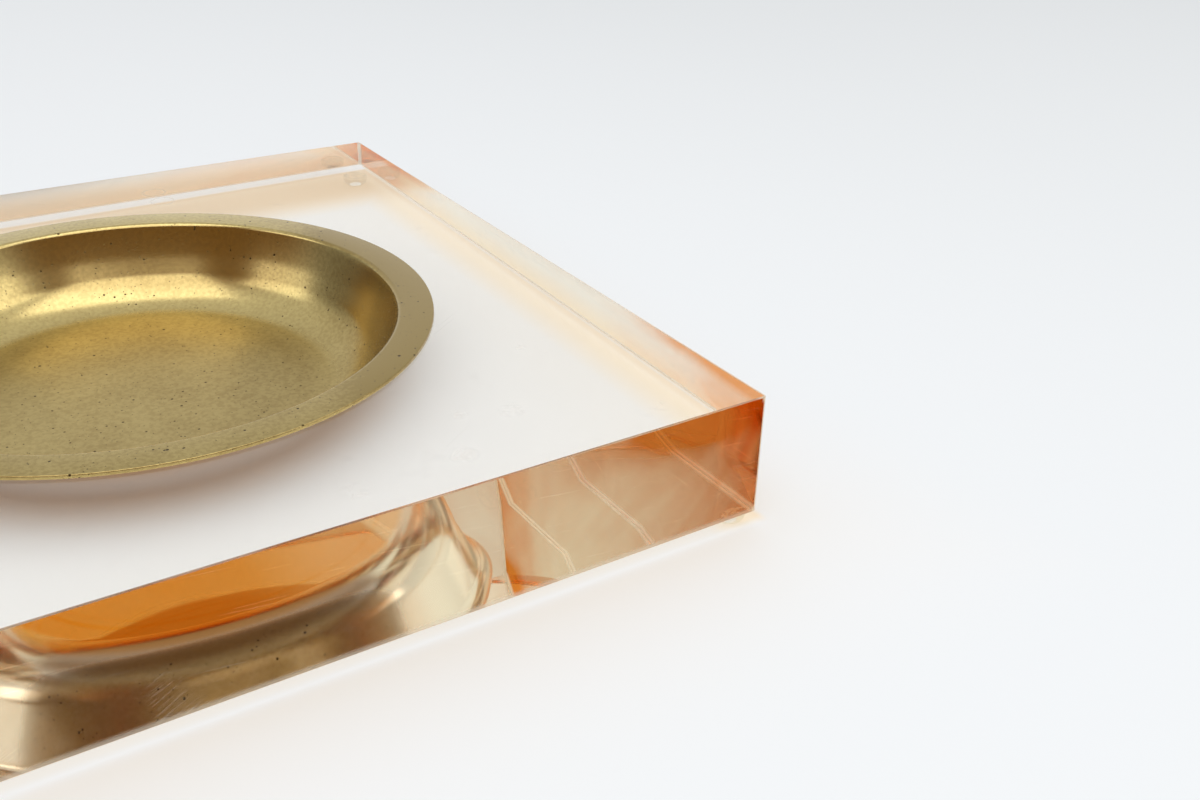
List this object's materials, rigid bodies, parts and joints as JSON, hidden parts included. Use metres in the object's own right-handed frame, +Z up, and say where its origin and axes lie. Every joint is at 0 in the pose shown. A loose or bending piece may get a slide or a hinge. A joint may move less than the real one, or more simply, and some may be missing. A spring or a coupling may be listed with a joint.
{
  "type": "coin tray",
  "caption": "Square clear acrylic block with amber edges and a shallow round brass dish that drops into its recess, for coins, keys and small things.",
  "frame": {"origin": "centre of the block's footprint, at the level of the surface that the feet stand on", "axes": "+Z up along the dish's axis, +X to the right along the front edge, +Y to the back; the front face looks along -Y"},
  "size_m": [0.29, 0.29, 0.0452],
  "materials": {
    "acrylic": "clear polished cast acrylic, amber on the sawn sides",
    "brass": "satin aged brass with fine pits",
    "bumper": "clear soft bumper",
    "adhesive": "clear adhesive film"
  },
  "bodies": {
    "block": {"acrylic_slab": "acrylic", "bumper_front_left": "bumper", "bumper_front_right": "bumper", "bumper_back_left": "bumper", "bumper_back_right": "bumper", "adhesive_front_left": "adhesive", "adhesive_front_right": "adhesive", "adhesive_back_left": "adhesive", "adhesive_back_right": "adhesive"},
    "dish": {"brass_dish": "brass"}
  },
  "joints": [
    {"name": "dish_lift", "type": "slide", "parent": "block", "child": "dish", "axis": [0, 0, 1], "range_m": [0, 0.06]}
  ]
}
